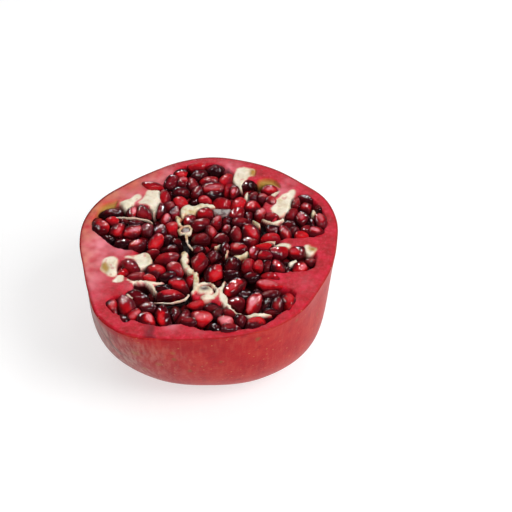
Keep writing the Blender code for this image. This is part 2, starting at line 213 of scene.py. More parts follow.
# Marks on the skin as (azimuth, mm below the rim): lines with their width, and round spots.
DARK_SCARS = [(1.4, [(203, 16.4), (204.8, 17.2), (208, 17.0), (211.5, 16.6)])]
BROWN_SCARS = [
    (1.15, [(221.5, 8), (223, 9), (224.8, 10.8), (227.5, 12.2), (228.5, 15.6), (230.5, 17.6), (231.2, 19)]),
]
RUSSET_SPOTS = [
    (292.2, 4.6, 1.2), (311.5, 3.6, 0.9), (276, 16, 0.9), (262, 22, 0.9), (329, 14, 0.8), (256, 13.5, 1.0),
    (221, 6.5, 1.0),
]
OCHRE_SPOTS = [(240.5, 11.8, 1.8), (241.2, 25, 1.4), (249, 18, 1.2), (256, 9, 1.0)]

# The spacing of the points on the face and of the rings down the side, how deep the locules are, and how
# deep the walls of the middle and the narrow walls lie: from which radius and which width on, in mm.
STEP = 0.62
RING_STEP = 0.8
POCKET_DEPTH = 7.5
WALL_SUNK = 3.4
SUNK_RADII = (31, 23)
SUNK_WIDTHS = (5.0, 3.2)
OCHRE_DEPTH = 1.6
RIM_DROP = 0.35
# The stain of juice on the rim in front: where it lies, how it fades to each side, and how far back.
STAIN_X = -20.6
STAIN_FADE = (3.1, 0.3)
STAIN_BACK = (-42.8, -44.8)


def catmull_rom(a, b, c, d, t):
    """The smooth curve through b and c, at t from 0 to 1, as the points before and after steer it."""
    bend = (2 * a - 5 * b + 4 * c - d) * t**2 + (3 * b - a - 3 * c + d) * t**3
    return 0.5 * (2 * b + (c - a) * t + bend)


def radius_at(azimuth, radii):
    """The radius in mm at each azimuth in radians, on a smooth closed curve through even radii."""
    count = len(radii)
    place = (np.asarray(azimuth) / (2 * math.pi) * count) % count
    index = place.astype(int)
    around = [radii[(index + k) % count] for k in (-1, 0, 1, 2)]
    return catmull_rom(*around, place - index)


def smooth_outline(points, steps=4):
    """A closed smooth outline through the points."""
    points = np.asarray(points, float)
    edge = []
    for index in range(len(points)):
        around = [points[(index + k) % len(points)] for k in (-1, 0, 1, 2)]
        edge += [catmull_rom(*around, k / steps) for k in range(steps)]
    return np.array(edge)


def smooth_line(points, steps=6):
    """An open smooth line through the points."""
    points = np.asarray(points, float)
    last = len(points) - 1
    line = []
    for index in range(last):
        around = [points[min(max(index + k, 0), last)] for k in (-1, 0, 1, 2)]
        line += [catmull_rom(*around, k / steps) for k in range(steps)]
    return np.array([*line, points[-1]])


def gap_to_run(points, start, end):
    """How far each point lies from a straight run in mm, and how far along it from 0 to 1."""
    run = end - start
    share = np.clip((points - start) @ run / max(run @ run, 1e-9), 0, 1)
    return np.hypot(*(points - start - share[:, None] * run).T), share


def distance_inside(points, outline):
    """How far inside a closed outline each point lies, in mm, and below zero outside it."""
    nearest = np.full(len(points), np.inf)
    inside = np.zeros(len(points), bool)
    for start, end in zip(outline, np.roll(outline, -1, axis=0)):
        nearest = np.minimum(nearest, gap_to_run(points, start, end)[0])
        run = end - start
        if run[1]:
            crossing = start[0] + (points[:, 1] - start[1]) / run[1] * run[0]
            between = (start[1] > points[:, 1]) != (end[1] > points[:, 1])
            inside ^= between & (points[:, 0] < crossing)
    return np.where(inside, nearest, -nearest)


def distance_to_line(points, line):
    """How far each point lies from an open line, in mm."""
    nearest = np.full(len(points), np.inf)
    for start, end in zip(line, line[1:]):
        nearest = np.minimum(nearest, gap_to_run(points, start, end)[0])
    return nearest


def ease(low, high, value):
    """0 at low and 1 at high, with a smooth rise between them."""
    t = np.clip((value - low) / (high - low), 0, 1)
    return t * t * (3 - 2 * t)


def ripple(points, size, seed):
    """Smooth noise from about -1 to 1 at each point, with swells of about the size in mm."""
    shift = Vector((seed * 17.3, seed * 5.7, seed * 9.1))
    return np.array([noise.noise(Vector((*p, 0)[:3]) / size + shift) for p in points]) * 1.6


def shaken(points, size, seed, amount):
    """The points moved within their plane by smooth noise, with swells of about the size in mm."""
    return points + amount * np.stack([ripple(points, size, seed), ripple(points, size, seed + 1)], axis=1)


def on_face(azimuth, distance):
    """The point on the cut face at an azimuth in degrees and a distance in mm from the middle."""
    turn = math.radians(azimuth)
    return distance * math.cos(turn), distance * math.sin(turn)


def mean_width(line):
    """The mean width in mm of a membrane, which is listed as points with a width each."""
    return np.mean([width for _, _, width in line])


LOCULE_EDGES = {
    name: smooth_outline([on_face(azimuth, distance) for azimuth, distance in points])
    for name, points in LOCULES.items()
}

# The cut surface starts as a square grid, which is drawn out into the round of the rim.
cells = int(2 * RIM_RADII.mean() / STEP)
bpy.ops.object.select_all(action="DESELECT")
bpy.ops.mesh.primitive_grid_add(x_subdivisions=cells, y_subdivisions=cells, size=2)
fruit = bpy.context.active_object
fruit.name = "rind_and_pith_look"
square = np.array([vert.co[:2] for vert in fruit.data.vertices])
disc = square * np.sqrt(1 - square[:, ::-1] ** 2 / 2)
azimuths = np.arctan2(disc[:, 1], disc[:, 0])
face = disc * (radius_at(azimuths, RIM_RADII) - RIM_ROUND)[:, None]
WIDE = 1.3
WIDE_MEMBRANES = [smooth_line(line) for line in MEMBRANES if mean_width(line) > WIDE]
jagged = shaken(face, 1.8, 21, 0.5)
wandered = shaken(face, 3.0, 1, 0.45)


def painted(patches, soft_out, soft_in):
    """How much each face point belongs to any of the patches, from 0 to 1."""
    most = np.zeros(len(face))
    for patch in patches:
        depth = distance_inside(wandered, smooth_outline(patch))
        most = np.maximum(most, ease(-soft_out, soft_in, depth))
    return most


def along_walls(soft_out, soft_in):
    """How much each face point lies on any of the wider membranes, from 0 to 1."""
    most = np.zeros(len(face))
    for line in WIDE_MEMBRANES:
        for start, end in zip(line, line[1:]):
            gap, share = gap_to_run(jagged, start[:2], end[:2])
            width = start[2] + (end[2] - start[2]) * share
            most = np.maximum(most, ease(-soft_out, soft_in, width / 2 - gap))
    return most


def clouded(places):
    """How much each face point is tinted by soft round places, from 0 to 1."""
    most = np.zeros(len(face))
    for x, y, size, much in places:
        gap = np.hypot(wandered[:, 0] - x, wandered[:, 1] - y)
        most = np.maximum(most, much * np.exp(-((gap / size) ** 2)))
    return np.clip(most * (0.9 + 0.5 * ripple(face, 2.6, 15)), 0, 1)


in_each = np.sort([distance_inside(wandered, edge) for edge in LOCULE_EDGES.values()], axis=0)
in_locule = in_each[-1]
wall_width = -in_each[-1] - in_each[-2]
radius = np.hypot(*face.T)
rim_gap = radius_at(azimuths, RIM_RADII) - radius
pith = np.maximum(painted(PITH_PATCHES, 0.5, 0.4), along_walls(0.05, 0.45))
ochre = painted(OCHRE_PATCHES, 0.8, 1.0)
jelly = painted(JELLY_PATCHES, 1.1, 0.8)
raised = np.maximum(painted(PITH_PATCHES + JELLY_PATCHES, 1.0, 0.4), along_walls(0.45, 0.25))
hollow = 0.3 * ease(-0.4, 0.5, in_locule) + 0.7 * ease(0, 3.5, in_locule)
deep_wall = np.maximum(ease(*SUNK_RADII, radius), ease(*SUNK_WIDTHS, wall_width))
height = -WALL_SUNK * deep_wall + 0.2 * ripple(face, 9, 3)
height = height * (1 - hollow) - POCKET_DEPTH * hollow
height = height * (1 - raised) + raised * (0.1 + 0.35 * ripple(face, 4, 4))
height -= OCHRE_DEPTH * ochre * (1 - pith)
height += 0.08 * ripple(face, 1.6, 5)
height -= RIM_DROP * ease(1.2, RIM_ROUND * 0.6, rim_gap)
# Painted shade: how far down in a locule hollow or on a sunken wall each point lies, which darkens the
# flesh there.
painted_pocket_shade = np.maximum(hollow, deep_wall) * (1 - raised)
from_stain = np.abs(face[:, 0] - STAIN_X - 1.1 * ripple(face, 3, 8))
juice = ease(*STAIN_FADE, from_stain) * ease(*STAIN_BACK, face[:, 1])
height += 0.25 * juice

# The side of the fruit is drawn down from the rim, ring by ring, to the stem end. The rings are even down
# to STEEP_TO in mm, then at shares of the depth, and at last at shares of the way out.
STEEP_TO = 44.5
LAST_DEPTHS = (0.905, 0.93, 0.95, 0.965, 0.977, 0.987, 0.994, 0.998)
LAST_REACHES = (0.8, 0.62, 0.46, 0.34, 0.26, 0.2, 0.15, 0.11, 0.07, 0.03)
shares = [0.004, 0.012, *np.arange(RING_STEP, STEEP_TO, RING_STEP) / DEPTH, *LAST_DEPTHS]
rings = [(share, (1 - share**SIDE_POWER) ** (1 / TURN_POWER)) for share in shares]
last_spread = rings[-1][1]
for part in LAST_REACHES:
    rings.append(((1 - (last_spread * part) ** TURN_POWER) ** (1 / SIDE_POWER), last_spread * part))

work = bmesh.new()
work.from_mesh(fruit.data)
for vert, (x, y), z in zip(work.verts, face, height):
    vert.co = (x, y, z)
face_count = len(work.verts)
edges = [edge for edge in work.edges if edge.is_boundary]
ring_size = len(edges)
for _ in rings:
    made = bmesh.ops.extrude_edge_only(work, edges=edges)["geom"]
    edges = [item for item in made if isinstance(item, bmesh.types.BMEdge) and item.is_boundary]
work.to_mesh(fruit.data)
work.free()

points = np.array([vert.co for vert in fruit.data.vertices])
depths = np.zeros(len(points))
for index, (share, spread) in enumerate(rings):
    rows = slice(face_count + index * ring_size, face_count + (index + 1) * ring_size)
    azimuth = np.arctan2(points[rows, 1], points[rows, 0])
    to_belly = ease(0, BELLY_SHARE, share)
    side = radius_at(azimuth, RIM_RADII) * (1 - to_belly) + radius_at(azimuth, BELLY_RADII) * to_belly
    reach = side * spread * (1 - SIDE_TAPER * share)
    dish = DISH_DEPTH * ease(DISH_RADIUS, STUB_RADIUS + 0.6, reach)
    stub = -STUB_HEIGHT * ease(STUB_RADIUS + 0.5, STUB_RADIUS - 0.4, reach)
    level = dish + stub - DEPTH * share
    points[rows] = np.column_stack([reach * np.cos(azimuth), reach * np.sin(azimuth), level])
    depths[rows] = DEPTH * share
fruit.data.vertices.foreach_set("co", points.ravel())

work = bmesh.new()
work.from_mesh(fruit.data)
bmesh.ops.contextual_create(work, geom=[edge for edge in work.edges if edge.is_boundary])
bmesh.ops.recalc_face_normals(work, faces=work.faces)
for item in work.faces:
    item.smooth = True
    item.material_index = int(max(vert.index for vert in item.verts) >= face_count)
work.transform(LEANING)
for vert in work.verts:
    vert.co.z = max(vert.co.z, 0.0)
work.to_mesh(fruit.data)
work.free()


def keep(mesh, name, values, kind="FLOAT"):
    """Keeps a value, or three, at each point of the mesh for its material to read."""
    field = "vector" if kind == "FLOAT_VECTOR" else "value"
    held = mesh.attributes.new(name, kind, "POINT").data
    held.foreach_set(field, np.ascontiguousarray(values, np.float32).ravel())


# Marks on the skin are painted on it unrolled: the way round in mm, and mm below the rim. The weathered
# side is given by its middle and its half width, in degrees round.
MM_PER_DEGREE = 0.9
OFF_SKIN = -100
WEATHER_AT, WEATHER_WIDE = 212, 30
way_round = np.degrees(np.arctan2(points[:, 1], points[:, 0])) % 360
unrolled = np.column_stack([way_round * MM_PER_DEGREE, depths])
unrolled[:face_count] = OFF_SKIN
unrolled = shaken(unrolled, 2.0, 9, 0.25)


def scarred(lines):
    """How much each point lies on any of the lines of the skin, from 0 to 1."""
    most = np.zeros(len(points))
    for width, line in lines:
        gap = distance_to_line(unrolled, smooth_line(line) * (MM_PER_DEGREE, 1))
        most = np.maximum(most, ease(width, width * 0.35, gap))
    return most


def spotted(spots):
    """How much each point lies in any of the round spots of the skin, from 0 to 1."""
    most = np.zeros(len(points))
    for azimuth, depth, size in spots:
        gap = np.hypot(unrolled[:, 0] - azimuth * MM_PER_DEGREE, unrolled[:, 1] - depth)
        most = np.maximum(most, ease(size * 1.4, size * 0.4, gap))
    return most


aside = (way_round - WEATHER_AT) / WEATHER_WIDE
weather = np.exp(-(aside**2)) * ease(1.0, 7, depths) * ease(48, 36, depths)
weather = np.clip(1.3 * weather * (1 + 0.5 * ripple(unrolled, 7.0, 11)), 0, 1)
flesh_marks = {
    "pith": pith, "ochre": ochre, "jelly": jelly, "juice": juice, "painted_pocket_shade": painted_pocket_shade, "rim_gap": rim_gap,
    "pale": clouded(PALE_FLESH), "orange": clouded(ORANGE_FLESH),
}
for name, values in flesh_marks.items():
    keep(fruit.data, name, np.concatenate([values, np.zeros(len(points) - face_count)]))
skin_marks = {
    "weather": weather, "dark_scar": scarred(DARK_SCARS), "brown_scar": scarred(BROWN_SCARS),
    "russet": spotted(RUSSET_SPOTS), "ochre_spot": spotted(OCHRE_SPOTS),
}
for name, values in skin_marks.items():
    keep(fruit.data, name, values)
keep(fruit.data, "fruit_place", points, "FLOAT_VECTOR")


def linear(hex_colour):
    """An sRGB hex colour as the linear colour that a shader takes."""
    channels = [int(hex_colour[k : k + 2], 16) / 255 for k in (1, 3, 5)]
    return (*[c / 12.92 if c <= 0.04045 else ((c + 0.055) / 1.055) ** 2.4 for c in channels], 1)


def add(tree, kind, inputs=None, stops=None, **settings):
    """Adds a node with its settings, its colour stops, and its inputs as values or links."""
    made = tree.nodes.new(kind)
    for name, value in settings.items():
        setattr(made, name, value)
    for name, value in (inputs or {}).items():
        if isinstance(value, bpy.types.NodeSocket):
            tree.links.new(value, made.inputs[name])
        else:
            made.inputs[name].default_value = value
    for index, (place, colour) in enumerate(stops or ()):
        ramp = made.color_ramp.elements
        stop = ramp[index] if index < 2 else ramp.new(place)
        stop.position, stop.color = place, linear(colour)
    return made


def new_material(name, inputs):
    """A material and its tree and shader, with values for inputs of the shader."""
    material = bpy.data.materials.new(name)
    material.use_nodes = True
    shader = material.node_tree.nodes["Principled BSDF"]
    for entry, value in inputs.items():
        shader.inputs[entry].default_value = value
    return material, material.node_tree, shader


def marks_of(tree, names):
    """The values that the mesh keeps under the names."""
    return {name: add(tree, "ShaderNodeAttribute", attribute_name=name).outputs["Fac"] for name in names}


def blend(tree, layers, colour):
    """Lays each (share, tint) over the colour in turn."""
    for share, tint in layers:
        tint = linear(tint) if isinstance(tint, str) else tint
        colour = add(tree, "ShaderNodeMix", {0: share, 6: colour, 7: tint}, data_type="RGBA").outputs[2]
    return colour


def between(tree, value, low, high, most=1.0, **settings):
    """A value from low to high as a share from 0 to the most."""
    inputs = {"Value": value, "From Min": low, "From Max": high, "To Max": most}
    return add(tree, "ShaderNodeMapRange", inputs, **settings).outputs["Result"]


def grain(tree, place, size, detail, roughness=0.5):
    """Smooth noise from 0 to 1, with swells of about the size in the unit of the place."""
    inputs = {"Vector": place, "Scale": 1 / size, "Detail": detail, "Roughness": roughness}
    return add(tree, "ShaderNodeTexNoise", inputs).outputs["Fac"]


def toned(tree, value, stops):
    """The colour at the value between stops, which are given as the two ends first, then those between."""
    return add(tree, "ShaderNodeValToRGB", {"Fac": value}, stops).outputs["Color"]


def bumped(tree, height, strength, distance, under=None):
    """The normal of a surface that is raised by the height, on top of the bumps under it."""
    inputs = {"Height": height, "Strength": strength, "Distance": distance}
    if under is not None:
        inputs["Normal"] = under
    return add(tree, "ShaderNodeBump", inputs).outputs["Normal"]


def worked(tree, operation, *values):
    """The values after one step of arithmetic."""
    return add(tree, "ShaderNodeMath", dict(enumerate(values)), operation=operation).outputs[0]


def stretched(tree, vector, factors):
    """The vector with each part multiplied by its own factor."""
    return add(tree, "ShaderNodeVectorMath", {0: vector, 1: factors}, operation="MULTIPLY").outputs[0]


def length_of(tree, vector):
    """The length of the vector."""
    return add(tree, "ShaderNodeVectorMath", {0: vector}, operation="LENGTH").outputs["Value"]


# Cut flesh: wet, soft and fibrous, crimson at the rim, paler and more orange in clouds, cream at the walls
# and whiter outwards, with pink flecks, ochre where an aril has come away, and painted shade down in the
# pockets.
wet = {
    "Roughness": 0.5, "Specular IOR Level": 0.1,
    "Subsurface Weight": 0.12, "Subsurface Radius": (1.0, 0.3, 0.2), "Subsurface Scale": 0.001,
}
flesh, tree, shader = new_material("wet_cut_flesh_and_pith", wet)
place = add(tree, "ShaderNodeAttribute", attribute_name="fruit_place").outputs["Vector"]
marks = marks_of(tree, ("pith", "ochre", "jelly", "juice", "painted_pocket_shade", "rim_gap", "pale", "orange"))
clouds = grain(tree, place, 5.0, 4.0, 0.65)
fibres = grain(tree, place, 1.6, 3.0, 0.6)
across = {"Vector": place, "Rotation": (0, 0, 0.6), "Scale": (0.45, 1.0, 1.0)}
strands = grain(tree, add(tree, "ShaderNodeMapping", across).outputs["Vector"], 1.3, 3.0)
flecks = grain(tree, place, 2.6, 1.0)
crimson = toned(tree, clouds, [(0.34, "#9c0a16"), (0.66, "#c81836"), (0.5, "#b80e24")])
soft = grain(tree, place, 3.4, 2.5, 0.55)
cream = toned(tree, soft, [(0.34, "#b09a66"), (0.62, "#e6dcc4"), (0.47, "#cec09a")])
outwards = length_of(tree, place)
pale_cream = blend(tree, [(between(tree, outwards, 20.0, 28.0, 0.6), "#efe4d2")], cream)
pink_cream = blend(tree, [(between(tree, flecks, 0.6, 0.7, 0.6), "#d07c78")], pale_cream)
yellow_cream = blend(tree, [(between(tree, clouds, 0.54, 0.7, 0.5), "#bb9e5c")], pink_cream)
milky_brown = blend(tree, [(between(tree, soft, 0.44, 0.56), "#a09894")], linear("#5a4444"))
colour = blend(
    tree,
    [
        (between(tree, strands, 0.5, 0.75, 0.2), "#cc3650"),
        (between(tree, fibres, 0.52, 0.7, 0.14), "#de6a7a"),
        (between(tree, fibres, 0.46, 0.3, 0.35), "#8c0814"),
        (marks["pale"], "#e4808e"), (marks["orange"], "#cc7854"), (marks["pith"], yellow_cream),
        (marks["ochre"], "#a8813a"), (marks["jelly"], milky_brown),
        # Painted shade: the flesh goes near black down in the pockets and on the sunken walls.
        (between(tree, marks["painted_pocket_shade"], 0.12, 0.45), "#3a060c"),
        (between(tree, marks["painted_pocket_shade"], 0.5, 0.9), "#120204"),
        (between(tree, marks["rim_gap"], 1.0, 0.3, 0.8), "#9a121c"),
        (between(tree, marks["juice"], 0.0, 1.0, 0.72), "#5e0a1a"),
    ],
    crimson,
)
tree.links.new(colour, shader.inputs["Base Color"])
rough = worked(tree, "ADD", fibres, strands)
tree.links.new(bumped(tree, rough, 0.3, 0.0003), shader.inputs["Normal"])

# Rind: thin, tight and waxy, red with faint streaks from rim to stem, orange mottling and pale
# freckles, weathered grey-brown on the left, with a few dark scars and russet spots.
rind, tree, shader = new_material("waxy_red_rind", {"Roughness": 0.38, "Specular IOR Level": 0.1})
place = add(tree, "ShaderNodeAttribute", attribute_name="fruit_place").outputs["Vector"]
marks = marks_of(tree, ("weather", "dark_scar", "brown_scar", "russet", "ochre_spot"))
broad = grain(tree, place, 18.0, 4.0, 0.6)
upright = add(tree, "ShaderNodeMapping", {"Vector": place, "Scale": (1.0, 1.0, 0.14)})
streaks = grain(tree, upright.outputs["Vector"], 1.4, 2.0)
mottle = grain(tree, place, 3.2, 4.0, 0.7)
freckles = add(tree, "ShaderNodeTexVoronoi", {"Vector": place, "Scale": 1 / 2.6, "Randomness": 1.0})
pores = grain(tree, place, 0.8, 3.0)
skin_red = toned(tree, broad, [(0.34, "#940c16"), (0.66, "#a82822"), (0.5, "#9e1218")])
grey_brown = blend(tree, [(between(tree, streaks, 0.4, 0.6), "#98766c")], linear("#74302e"))
colour = blend(
    tree,
    [
        (between(tree, streaks, 0.5, 0.7, 0.3), "#b44438"),
        (between(tree, mottle, 0.52, 0.7, 0.3), "#a24032"),
        (between(tree, mottle, 0.48, 0.32, 0.5), "#7c0e1a"),
        (between(tree, marks["weather"], 0.0, 1.0, 0.78), grey_brown),
        (between(tree, freckles.outputs["Distance"], 0.16, 0.06, 0.5), "#b98050"),
        (between(tree, marks["ochre_spot"], 0.0, 1.0, 0.35), "#8a6a30"),
        (between(tree, marks["russet"], 0.0, 1.0, 0.8), "#7a4420"),
        (between(tree, marks["brown_scar"], 0.0, 1.0, 0.75), "#54392f"),
        (between(tree, marks["dark_scar"], 0.0, 1.0, 0.75), "#443028"),
    ],
    skin_red,
)
tree.links.new(colour, shader.inputs["Base Color"])
tree.links.new(bumped(tree, pores, 0.25, 0.0003), shader.inputs["Normal"])

fruit.data.materials.append(flesh)
fruit.data.materials.append(rind)

# Each thin membrane is an upright oval swept along its line, a little narrower than given there, and it
# reaches down between the arils. They are part of the same grown piece as the pith.
WALL_TOP = 0.3
THINNER = 0.8
CORNERS = 12
OVAL_UP, OVAL_DOWN = 0.2, 1.8
FAR_FROM_RIM = 20.0
profile = bpy.data.curves.new("membrane_profile", "CURVE")
around = profile.splines.new("POLY")
around.points.add(CORNERS - 1)
for index, point in enumerate(around.points):
    turn = index * 2 * math.pi / CORNERS
    rise = math.sin(turn)
    point.co = (0.5 * math.cos(turn), (OVAL_UP if rise > 0 else OVAL_DOWN) * rise, 0, 1)
around.use_cyclic_u = True
profile = bpy.data.objects.new("membrane_profile", profile)
bpy.context.scene.collection.objects.link(profile)

sweep = bpy.data.curves.new("membranes", "CURVE")
sweep.dimensions, sweep.twist_mode = "3D", "Z_UP"
sweep.bevel_mode, sweep.bevel_object, sweep.use_fill_caps = "OBJECT", profile, True
thin = [line for line in MEMBRANES if mean_width(line) <= WIDE]
for line in [*thin, MEMBRANE_RING]:
    is_ring = line is MEMBRANE_RING
    smooth = smooth_outline(line) if is_ring else smooth_line(line)
    spline = sweep.splines.new("POLY")
    spline.points.add(len(smooth) - 1)
    for point, (x, y, width) in zip(spline.points, smooth):
        point.co = (x, y, WALL_TOP - OVAL_UP * width, 1)
        point.radius = width * THINNER
    spline.use_cyclic_u = is_ring
membranes = bpy.data.objects.new("membranes", sweep)
bpy.context.scene.collection.objects.link(membranes)
membranes.select_set(True)
bpy.context.view_layer.objects.active = membranes
bpy.ops.object.convert(target="MESH")
bpy.data.objects.remove(profile)

work = bmesh.new()
work.from_mesh(membranes.data)
bmesh.ops.recalc_face_normals(work, faces=work.faces)
for item in work.faces:
    item.smooth = True
work.to_mesh(membranes.data)
work.free()
wall_points = np.array([vert.co for vert in membranes.data.vertices])
for axis in range(3):
    wall_points[:, axis] += 0.2 * ripple(wall_points, 1.3, 12 + axis)
membranes.data.vertices.foreach_set("co", wall_points.ravel())
keep(membranes.data, "fruit_place", wall_points, "FLOAT_VECTOR")
keep(membranes.data, "pith", np.clip(0.72 + 0.3 * ripple(wall_points, 2.2, 16), 0.3, 0.95))
keep(membranes.data, "rim_gap", np.full(len(wall_points), FAR_FROM_RIM))
membranes.data.transform(LEANING)
membranes.data.materials.append(flesh)

membranes.select_set(True)
fruit.select_set(True)
bpy.context.view_layer.objects.active = fruit
bpy.ops.object.join()
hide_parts("rind_and_pith")
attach(fruit, "root")

# The arils. Each locule is packed with juicy arils, a seed in a sac of clear red pulp, which press each
# other flat where they touch. A round kernel is copied to each place, turned, pressed and coloured.
# Each is (x, y, turn in degrees, length, width, look), in mm on the cut face.

